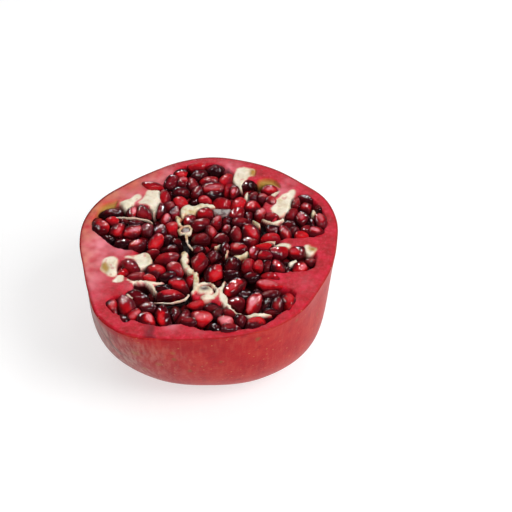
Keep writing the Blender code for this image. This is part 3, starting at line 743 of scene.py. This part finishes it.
ARILS = {
    "back_left": [
        (-39.5, 18, 5, 10, 6.5, "dark"), (-31.5, 18.5, 88, 8.5, 4.6, "pink"), (-27, 18, -35, 9, 7, "plum"),
        (-43.5, 10.5, -62, 10.5, 7.5, "ruby"), (-38.7, 13.6, 0, 5.5, 3.6, "bright"),
        (-36.5, 8.3, 60, 8, 6, "rose"), (-30.5, 7.5, 28, 9.5, 5.6, "pink"),
        (-24.8, 8.5, 60, 9.5, 7, "plum"), (-33.3, 1, 12, 9, 5.5, "dark"),
        (-28.3, -0.5, 35, 7.5, 5, "pink"), (-21, 1, 50, 9.5, 4.6, "bright"),
        (-16.5, 3.5, 20, 7, 5, "dark"), (-12.5, 1.5, -20, 6.5, 5, "dark"),
        (-15.5, -2, 10, 7.5, 4.5, "dark"), (-19.5, 8, 70, 6.5, 5, "plum"), (-15, 9.5, 20, 7, 6, "bright"),
        (-17.5, 15, 82, 8, 4.2, "pink"), (-20, 18.5, 85, 9, 3.8, "plum"),
        (-14, 17.5, 75, 7.5, 4.5, "plum"), (-35, 13.5, 10, 7, 5, "dark"),
        (-29.5, 12.5, 10, 8, 4.5, "dark"),
    ],
    "back": [
        (-24, 33.5, -8, 10, 5.5, "deep"), (-19, 27.5, -78, 8, 4.6, "deep"), (-16.5, 23, 60, 7, 6, "plum"),
        (-12.5, 24.5, -45, 7.5, 6, "bright"), (-12.8, 42.5, 8, 9, 7, "ruby"),
        (-16.3, 37, 70, 8.5, 6, "plum"), (-11.8, 36.8, 60, 7.5, 6, "rose"), (-12, 31, 0, 7.5, 5.5, "dark"),
        (-7.8, 36, -70, 9.5, 4.6, "plum"), (-6.5, 26, 60, 6, 5.5, "black"),
        (-5.5, 46.8, 8, 8.5, 4, "bright"), (-5, 41.8, 20, 8, 6, "dark"),
        (-2.2, 26.3, -18, 6.5, 5.5, "bright"), (1, 33.3, 15, 10.5, 5.5, "rose"),
        (-1, 38, 8, 9.5, 6, "deep"), (0.5, 45.3, -18, 9.5, 6.5, "dark"), (-5.5, 31, 70, 7, 5, "plum"),
        (6, 38.8, 60, 8, 4.6, "bright"), (7.4, 33.2, 80, 7, 4.2, "deep"),
        (9.4, 30.2, 80, 5.5, 3.6, "pink"), (4.5, 24.5, 0, 9, 7, "deep"), (1, 29, 10, 7, 4.5, "dark"),
    ],
    "back_right": [
        (15, 36.5, 62, 9.5, 6.5, "dark"), (23.7, 32.3, 5, 6, 5, "pink"), (21.3, 27.7, -30, 6, 5, "rose"),
        (24.6, 25.5, -60, 6, 4.2, "deep"), (17.6, 28.3, 60, 6.5, 5.2, "plum"),
    ],
    "right_back": [
        (38.3, 27.8, -38, 9.5, 7, "dark"), (35, 24, 80, 7, 3.6, "deep"), (38.7, 22, -45, 6.5, 4.6, "pink"),
        (37.2, 15, 100, 7.5, 5, "rose"), (33.2, 17.8, 60, 6.5, 5, "plum"),
        (44.4, 13.5, 100, 8.5, 5, "rose"), (32, 12, 30, 6.5, 5.5, "dark"), (40.8, 13, 95, 7, 3.8, "dark"),
        (34, 7.7, 10, 7, 6, "dark"), (42, 7, -18, 6.5, 4.6, "pink"), (38.8, 8, 60, 5, 4.6, "plum"),
        (36.7, 4.8, 0, 4.8, 3.6, "bright"), (30, 6.3, -60, 7.5, 4.2, "rose"),
        (24.8, 16, 0, 6.5, 4, "deep"), (24.8, 8.3, 0, 8.5, 5.5, "dark"), (24, 3.8, 5, 7.5, 4.6, "bright"),
    ],
    "centre": [
        (17, 22, 10, 8, 7.5, "ruby"), (11.5, 23.5, 62, 8.5, 5.6, "bright"),
        (20.5, 17.3, 72, 6.5, 4.6, "pink"), (11, 17.3, 40, 7, 6, "deep"), (15.5, 16.5, 80, 5, 4, "dark"),
        (16.3, 6.5, -62, 12, 7.5, "ruby"), (10, 6.5, -70, 11, 5.6, "plum"), (7, 8, 80, 5, 3.6, "rose"),
        (4.5, 3.8, 28, 8, 6, "plum"), (0.7, 6.8, -82, 8.5, 4, "rose"), (-3, 3, 0, 7, 6, "plum"),
        (-2.2, 18, 10, 7, 5.5, "deep"), (-8, 14.3, 60, 6.5, 5.5, "deep"), (-3.5, 12, 20, 9, 7, "plum"),
        (2.9, 12.5, 75, 8, 3.8, "rose"), (6.5, 13, 60, 6, 5, "dark"), (12.5, 12.3, 0, 8, 5, "plum"),
        (11, -2.6, -18, 10.5, 6.5, "ruby"), (16, 0.8, -30, 8, 4.6, "plum"),
        (2, -6.7, 80, 8.5, 6.5, "dark"), (2.7, -16.8, 80, 13, 7.5, "ruby"),
        (-3.5, -9.5, 80, 10, 6, "deep"), (-4.5, -3, 30, 6, 5, "dark"), (9.5, -11.3, 62, 9, 6, "dark"),
        (9, -16.3, 0, 8, 5, "dark"), (6.5, -2.6, 80, 6, 4, "dark"),
    ],
    "left": [
        (-30.8, -12.5, -58, 12.5, 8.5, "plum"), (-16.5, -8, 4, 9.5, 5.5, "deep"),
        (-20, -15, 0, 8.5, 7, "ruby"), (-12.8, -13.8, -45, 9, 6.5, "deep"), (-27, -19, 0, 8, 5, "deep"),
        (-22.8, -20, -20, 5, 3.6, "bright"), (-11.8, -22, -26, 10.5, 6.5, "ruby"),
        (-15.5, -18.3, 0, 7, 4.2, "dark"), (-33.2, -16.3, 60, 5, 4, "bright"),
    ],
    "front_left": [
        (-15, -28.5, 0, 13, 6.8, "ruby"), (-26, -29.3, -45, 12.5, 8, "dark"),
        (-17, -24.6, 0, 8, 3.8, "black"),
    ],
    "front": [
        (-35.8, -34.8, -84, 10.5, 6.8, "ruby"), (-30.3, -34, -70, 10, 6, "deep"),
        (-27.3, -38, 42, 9, 6, "rose"), (-31.3, -40.8, -35, 6.5, 4.6, "dark"),
        (-22.4, -41.5, -65, 9, 6, "pink"), (-16.3, -39.5, -86, 11, 6.3, "ruby"),
        (-22.5, -35.3, 0, 6, 4.6, "plum"), (-11.8, -37.5, -84, 10, 4.6, "dark"),
        (-8.3, -40, 75, 8.5, 5, "plum"), (-6.6, -42.6, 5, 6.5, 4, "plum"),
        (-1.8, -39.8, 8, 12, 6.2, "cerise"), (-4, -32.6, 15, 8.5, 6.8, "ruby"),
        (4.3, -37.5, 40, 7, 5.5, "dark"), (7.6, -42.5, 0, 9.5, 7.5, "pearl"),
        (3.6, -45, 0, 6.5, 5, "black"), (9, -45.8, 5, 8, 3.8, "plum"), (12.7, -41.5, 80, 6, 5, "dark"),
        (18, -42.7, 0, 9, 7, "ruby"), (9, -37.6, -15, 8, 4.6, "plum"), (2, -34.4, 5, 7, 4.4, "dark"),
    ],
    "front_right": [
        (10.8, -24.2, 50, 13.5, 8, "ruby"), (23.5, -22.6, -10, 12, 5, "cerise"),
        (24.5, -18.3, -5, 9, 5.5, "deep"), (18, -32.5, 56, 11, 7, "pink"), (11, -32, 0, 8, 6, "plum"),
        (23, -33, 65, 10, 5, "black"), (26.6, -34, 70, 8, 4.2, "plum"), (30.6, -32, 82, 11, 6.3, "ruby"),
        (24, -28, 5, 8, 4.6, "plum"), (24.5, -38, 0, 6, 4.2, "dark"), (14, -27.5, 30, 7, 5, "black"),
    ],
    "right": [
        (34.5, -4.5, -10, 9, 7.5, "ruby"), (27.2, -4.5, -5, 9.5, 6.3, "deep"),
        (21.2, -1.8, 0, 8, 4.6, "bright"), (17.8, -5.5, 70, 5.5, 4.6, "pearl"),
        (22, -6.8, 0, 6.5, 4.2, "deep"), (16, -12, 80, 8.5, 6, "deep"),
        (19.5, -12.5, 80, 5, 3.6, "bright"), (27, -13.3, -60, 9.5, 5.3, "ruby"),
        (22.7, -12, 70, 7, 5, "dark"), (35, -13.7, 45, 9, 7, "rose"), (31, -14, 80, 6, 3.6, "black"),
        (17.2, -18.5, 0, 6, 4.6, "dark"),
    ],
}
# Each look is how bright the pulp is, how strongly a painted red glow of light through its heart shows, how
# much the seed shows, and how wide.
LOOKS = {
    "black": (0.0, 0.0, 0.0, 0.6), "dark": (0.08, 0.1, 0.0, 0.7), "plum": (0.34, 0.22, 0.05, 0.8),
    "deep": (0.5, 0.5, 0.0, 1.0), "bright": (0.9, 0.95, 0.05, 1.25), "ruby": (0.22, 1.0, 0.12, 0.85),
    "rose": (0.45, 0.7, 0.5, 0.9), "pink": (0.4, 0.9, 0.95, 0.95), "pearl": (0.4, 0.7, 1.0, 1.0),
    "cerise": (0.85, 0.9, 0.45, 1.4),
}
# How high the arils stand over the cut, how much each is drawn fuller than listed, and how sharply they
# are pressed: never nearer to the middle than LEAST, TUCK under a wall, with SLACK between two. An aril
# feels those within its NEIGHBOURS' reach. Dark ones lie deeper. A bed of arils lies BED below the cut.
TOP = 0.95
DROPS = {"black": 1.2, "dark": 0.5}
FULLER = 1.36
PRESS = 15.0
LEAST = 0.9
TUCK = 0.9
EGG_TAPER = 0.14
SLACK = 0.06
NEIGHBOURS = 14
BED = 5.2
BED_SPACING = 5.2
BED_FROM_WALL = 1.2
draw = random.Random(11)

kernels = {}
for fineness in (4, 2):
    bpy.ops.object.select_all(action="DESELECT")
    bpy.ops.mesh.primitive_ico_sphere_add(subdivisions=fineness, radius=1)
    ball = bpy.context.active_object
    directions = np.array([vert.co for vert in ball.data.vertices])
    directions /= np.linalg.norm(directions, axis=1)[:, None]
    kernels[fineness] = directions, np.array([polygon.vertices for polygon in ball.data.polygons])
    bpy.data.objects.remove(ball)


def turned(turn, tip, roll):
    """The way that an aril lies: its length out from the fruit's axis, tipped up or down, and rolled."""
    lie = Matrix.Rotation(math.radians(turn), 3, "Z") @ Matrix.Rotation(math.radians(tip), 3, "Y")
    return np.array(lie @ Matrix.Rotation(math.radians(roll), 3, "X"))


def look_of(name):
    """The look with a little of its own brightness and painted glow."""
    brightness, painted_heart_glow, seed, spread = LOOKS[name]
    brightness *= draw.uniform(0.75, 1.25)
    painted_heart_glow *= draw.uniform(0.85, 1.1)
    spread *= draw.uniform(0.9, 1.12)
    return brightness, painted_heart_glow, seed, spread


PATCH_EDGES = [smooth_outline(patch) for patch in PITH_PATCHES + JELLY_PATCHES]
MEMBRANE_LINES = [smooth_line(line) for line in MEMBRANES]
grown = []
for locule, members in ARILS.items():
    for x, y, turn, length, width, look in members:
        half = np.array([length, width, width * draw.uniform(0.85, 1.0)]) / 2 * FULLER
        z = TOP + 0.5 - half[2] - DROPS.get(look, 0.0) + draw.uniform(-0.8, 0.4)
        lie = turned(turn + draw.choice((0, 180)), draw.uniform(-14, 14), draw.uniform(-20, 20))
        grown.append((locule, np.array([x, y, z]), half, lie, look_of(look), 4))

# Where the list leaves a gap, small dark arils fill it. They are tried at random spots of the face, off
# the walls, the pith, the membranes and the arils, by these distances in mm. Round the middle they also
# lie over the sunken walls.
TRIES, HALF_FACE = 7000, 50
FROM_WALL, FROM_PITH, FROM_MEMBRANE, FROM_ARIL = 0.7, 1.2, 1.5, 0.8
OVER_WALL, ROUND_MIDDLE = 2.5, 26
spots = [(draw.uniform(-HALF_FACE, HALF_FACE), draw.uniform(-HALF_FACE, HALF_FACE)) for _ in range(TRIES)]
spots = np.array(spots)
depths_in = np.array([distance_inside(spots, edge) for edge in LOCULE_EDGES.values()])
within = depths_in.max(axis=0)
free = (within > FROM_WALL) | ((within > -OVER_WALL) & (np.hypot(*spots.T) < ROUND_MIDDLE))
for patch in PATCH_EDGES:
    free &= distance_inside(spots, patch) < -FROM_PITH
for line in MEMBRANE_LINES:
    free &= distance_to_line(spots, line[:, :2]) > FROM_MEMBRANE
for spot, nearest in zip(spots[free], depths_in.argmax(axis=0)[free]):
    room = math.inf
    for _, centre, half, lie, _, _ in grown:
        gap = spot - centre[:2]
        along = gap @ lie[:2, 0]
        across = math.sqrt(max(gap @ gap - along**2, 0))
        room = min(room, math.hypot(along / (half[0] + FROM_ARIL), across / (half[1] + FROM_ARIL)))
    if room < 1:
        continue
    half = np.array([draw.uniform(3.2, 4.4), draw.uniform(2.3, 3.0), draw.uniform(2.2, 2.8)])
    turn = math.degrees(math.atan2(spot[1], spot[0])) + draw.uniform(-40, 40)
    centre = np.array([*spot, TOP - half[2] - draw.uniform(0.2, 1.0)])
    look = look_of(draw.choice(("dark", "plum", "plum", "deep", "black")))
    grown.append((list(LOCULES)[nearest], centre, half, turned(turn, draw.uniform(-20, 20), 0), look, 4))

# The bed below, in rows that are set off by half a step against each other.
for locule, edge in LOCULE_EDGES.items():
    low, high = edge.min(axis=0), edge.max(axis=0)
    for row, y in enumerate(np.arange(low[1], high[1], BED_SPACING * 0.87)):
        for x in np.arange(low[0] + (row % 2) * BED_SPACING / 2, high[0], BED_SPACING):
            spot = np.array([x + draw.uniform(-0.7, 0.7), y + draw.uniform(-0.7, 0.7)])
            if distance_inside(spot[None], edge)[0] < BED_FROM_WALL:
                continue
            half = np.array([draw.uniform(4.2, 5.2), draw.uniform(3.2, 3.8), draw.uniform(2.8, 3.4)])
            turn = math.degrees(math.atan2(spot[1], spot[0])) + draw.uniform(-30, 30)
            # Painted shade: the bed takes the darker looks, as it lies deep down between the arils.
            look = look_of(draw.choice(("dark", "dark", "plum", "black")))
            centre = np.array([*spot, -BED + draw.uniform(-0.8, 0.8)])
            grown.append((locule, centre, half, turned(turn, draw.uniform(-20, 20), 0), look, 2))
centres = np.array([aril[1] for aril in grown])


def walls_near(spot, line, closed):
    """The ways and the distances from a spot to where a line comes nearest to it."""
    starts = line if closed else line[:-1]
    runs = (np.roll(line, -1, axis=0) if closed else line[1:]) - starts
    share = np.clip(((spot - starts) * runs).sum(axis=1) / np.maximum((runs**2).sum(axis=1), 1e-9), 0, 1)
    ways = starts + share[:, None] * runs - spot
    gaps = np.hypot(*ways.T)
    lowest = (gaps <= np.roll(gaps, 1)) & (gaps <= np.roll(gaps, -1)) & (gaps < 8) & (gaps > 0.05)
    nearest = np.flatnonzero(lowest)
    return [(np.array([*ways[index], 0]) / gaps[index], gaps[index], index) for index in nearest]


def pressed(index):
    """One aril's points in mm, and the same points in its own unit space."""
    locule, centre, half, lie, look, fineness = grown[index]
    directions = kernels[fineness][0]
    planes = [(np.array([0, 0, 1.0]), max(TOP - centre[2] + draw.uniform(-0.25, 0.45), LEAST))]
    for other in np.flatnonzero(np.linalg.norm(centres - centre, axis=1) < NEIGHBOURS):
        if other == index:
            continue
        way = centres[other] - centre
        gap = np.linalg.norm(way)
        way = way / gap
        own = 1 / np.linalg.norm((lie.T @ way) / half)
        theirs = 1 / np.linalg.norm((grown[other][3].T @ way) / grown[other][2])
        if own + theirs > gap:
            planes.append((way, gap * own / (own + theirs) - SLACK / 2))
    spot = centre[:2]
    edge = LOCULE_EDGES[locule]
    if distance_inside(spot[None], edge)[0] > 0.3:
        planes += [(way, max(gap + TUCK, LEAST)) for way, gap, _ in walls_near(spot, edge, True)]
    for patch in PATCH_EDGES:
        if distance_inside(spot[None], patch)[0] < -0.2:
            planes += [(way, max(gap + 0.2, LEAST)) for way, gap, _ in walls_near(spot, patch, True)]
    if centre[2] > -3.5:
        for line in MEMBRANE_LINES:
            for way, gap, at in walls_near(spot, line[:, :2], False):
                if gap > 0.8:
                    planes.append((way, max(gap - line[at, 2] * 0.4, LEAST)))
    for _ in range(4):
        way = np.array([draw.gauss(0, 1), draw.gauss(0, 1), draw.gauss(0, 0.7)])
        way /= np.linalg.norm(way)
        planes.append((way, draw.uniform(0.7, 0.98) * np.linalg.norm((lie.T @ way) * half)))
    press = np.ones(len(directions))
    for way, meet in planes:
        normal = (lie.T @ way) * half
        size = np.linalg.norm(normal)
        press += (np.maximum(0, directions @ (normal / size)) / max(0.15, meet / size)) ** PRESS
    unit = directions * (press ** (-1 / PRESS))[:, None]
    unit[:, 1:] *= 1 - EGG_TAPER * unit[:, :1]
    return (unit * half) @ lie.T + centre, unit


# Ripe pulp: a clear, wet skin drawn tight over dark red juice. Its colour holds painted light: painted
# shade makes it nearly black at its edges, it is deep red within, a painted glow of light makes it bright
# red over its heart round the seed, and its small unevenness breaks the glints up.
glossy = {
    "Roughness": 0.04, "IOR": 1.36, "Specular IOR Level": 0.3, "Coat Weight": 0.12, "Coat Roughness": 0.04,
}
pulp, tree, shader = new_material("glossy_aril_pulp", glossy)
inside = add(tree, "ShaderNodeAttribute", attribute_name="in_aril").outputs["Vector"]
marks = marks_of(tree, ("brightness", "painted_heart_glow", "seed", "spread"))
place = add(tree, "ShaderNodeTexCoord").outputs["Object"]
swells = grain(tree, place, 0.003, 1.0)
dimples = grain(tree, place, 0.0013, 0.0)
veins = grain(tree, stretched(tree, inside, (0.8, 4.5, 4.5)), 1.0, 2.0)
from_heart = length_of(tree, stretched(tree, inside, (0.85, 1.15, 0.2)))
uneven = worked(tree, "MULTIPLY_ADD", swells, 0.6, -0.3)
reach = worked(tree, "DIVIDE", worked(tree, "ADD", from_heart, uneven), marks["spread"])
layers = []
# The heart layer is a painted glow of light through the pulp; the seed layer is the pale seed seen through
# it.
for start, full, strength, tone in ((0.72, 0.34, "painted_heart_glow", "#bc0a12"), (0.48, 0.18, "seed", "#e0828a")):
    share = between(tree, reach, start, full, interpolation_type="SMOOTHSTEP")
    layers.append((worked(tree, "MULTIPLY", share, marks[strength]), tone))
# Painted shade: the near-black tone at the edges of each aril, which also draws its dark veins.
edge_shade_and_vein_tone = blend(tree, [(marks["brightness"], "#620a14")], linear("#0d0204"))
body_tone = blend(tree, [(marks["brightness"], "#9c101a")], linear("#38050b"))
colour = blend(
    tree,
    [
        (between(tree, reach, 1.0, 0.5), body_tone),
        *layers,
        (between(tree, veins, 0.52, 0.7, 0.6), edge_shade_and_vein_tone),
    ],
    edge_shade_and_vein_tone,
)
tree.links.new(colour, shader.inputs["Base Color"])
normal = bumped(tree, dimples, 0.35, 0.0004, bumped(tree, swells, 0.6, 0.001))
tree.links.new(normal, shader.inputs["Normal"])

for locule in ARILS:
    vertices, faces, local, looks = [], [], [], []
    count = 0
    for index, aril in enumerate(grown):
        if aril[0] != locule:
            continue
        shape, unit = pressed(index)
        vertices.append(shape)
        local.append(unit)
        looks.append(np.repeat([aril[4]], len(shape), axis=0))
        faces += (kernels[aril[5]][1] + count).tolist()
        count += len(shape)
    mesh = bpy.data.meshes.new("arils_" + locule + "_look")
    mesh.from_pydata(np.concatenate(vertices).tolist(), [], faces)
    mesh.transform(LEANING)
    mesh.shade_smooth()
    keep(mesh, "in_aril", np.concatenate(local), "FLOAT_VECTOR")
    looks = np.concatenate(looks)
    for column, name in enumerate(("brightness", "painted_heart_glow", "seed", "spread")):
        keep(mesh, name, looks[:, column])
    mesh.materials.append(pulp)
    cluster = bpy.data.objects.new(mesh.name, mesh)
    bpy.context.scene.collection.objects.link(cluster)
    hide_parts("arils_" + locule)
    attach(cluster, "root")

# The floor: a plain matt white sheet that glows a little of itself, so that shadows on it stay faint.
bpy.ops.object.select_all(action="DESELECT")
bpy.ops.mesh.primitive_plane_add(size=6, location=(0, 0, -0.0002))
floor = bpy.context.active_object
floor.name = "floor"
matt_white = {
    "Base Color": (0.47, 0.47, 0.47, 1), "Roughness": 0.8,
    "Emission Color": (1, 1, 1, 1), "Emission Strength": 0.6,
}
floor.data.materials.append(new_material("matt_white_sheet", matt_white)[0])

# The light: a dim white room, a wide soft box overhead, a smaller one on the right that throws the
# shadow to the left, a fill in front, and five small lamps that give nothing but the glints.
world = bpy.data.worlds.new("white_room")
world.use_nodes = True
tree = world.node_tree
direction = add(tree, "ShaderNodeTexCoord").outputs["Generated"]
skyward = add(tree, "ShaderNodeSeparateXYZ", {"Vector": direction}).outputs["Z"]
walls = {"Value": skyward, "From Min": 0.0, "From Max": 0.42, "To Min": 0.55, "To Max": 0.06}
glow = add(tree, "ShaderNodeMapRange", walls).outputs["Result"]
tree.links.new(glow, tree.nodes["Background"].inputs["Strength"])
tree.nodes["Background"].inputs["Color"].default_value = (1, 1, 1, 1)
bpy.context.scene.world = world
bpy.context.scene.view_settings.view_transform = "Standard"


def lamp(name, place, size, power, only_glints=False):
    """A square soft box, with its place and size in metres, turned towards the fruit."""
    light = bpy.data.lights.new(name, "AREA")
    light.size, light.energy = size, power
    box = bpy.data.objects.new(name, light)
    box.location = place
    box.rotation_euler = (Vector((0, 0, 0.04)) - Vector(place)).to_track_quat("-Z", "Y").to_euler()
    box.visible_glossy = only_glints
    box.visible_diffuse = not only_glints
    bpy.context.scene.collection.objects.link(box)


lamp("overhead", (0, 0.05, 1.2), 1.6, 7)
lamp("key", (0.75, -0.42, 0.8), 0.7, 12)
lamp("fill", (0.0, -1.3, 0.45), 1.0, 6.5)
lamp("glint_left", (-0.3, 0.6, 0.7), 0.07, 2.6, only_glints=True)
lamp("glint_right", (0.35, 0.5, 0.8), 0.07, 2.6, only_glints=True)
lamp("glint_high", (0.1, 0.1, 1.0), 0.07, 2.6, only_glints=True)
lamp("glint_low", (0.5, -0.1, 0.75), 0.06, 2, only_glints=True)
lamp("glint_back", (-0.05, 0.75, 0.55), 0.06, 2, only_glints=True)

# The camera looks down on the cut face from the front, as in the photograph.
# Its lens and its aim are in pixels of the photograph, which is 512 each way.
IMAGE_PX = 512
SENSOR = 36
FOCAL_PX = 1417.0
DISTANCE = 560.0
FACE_PX = Vector((209, 243))
ELEVATION = math.radians(39)
forward = Vector((0, math.cos(ELEVATION), -math.sin(ELEVATION)))
right = Vector((1, 0, 0))
up = right.cross(forward)
off_middle = FACE_PX - Vector((IMAGE_PX / 2, IMAGE_PX / 2))
to_face = (forward * FOCAL_PX + right * off_middle.x - up * off_middle.y).normalized()
view = bpy.data.cameras.new("camera")
view.sensor_width = SENSOR
view.lens = FOCAL_PX / IMAGE_PX * SENSOR
camera = bpy.data.objects.new("camera", view)
camera.location = (FACE_CENTRE - to_face * DISTANCE) * MM
camera.rotation_euler = (math.pi / 2 - ELEVATION, 0, 0)
bpy.context.scene.collection.objects.link(camera)
bpy.context.scene.camera = camera
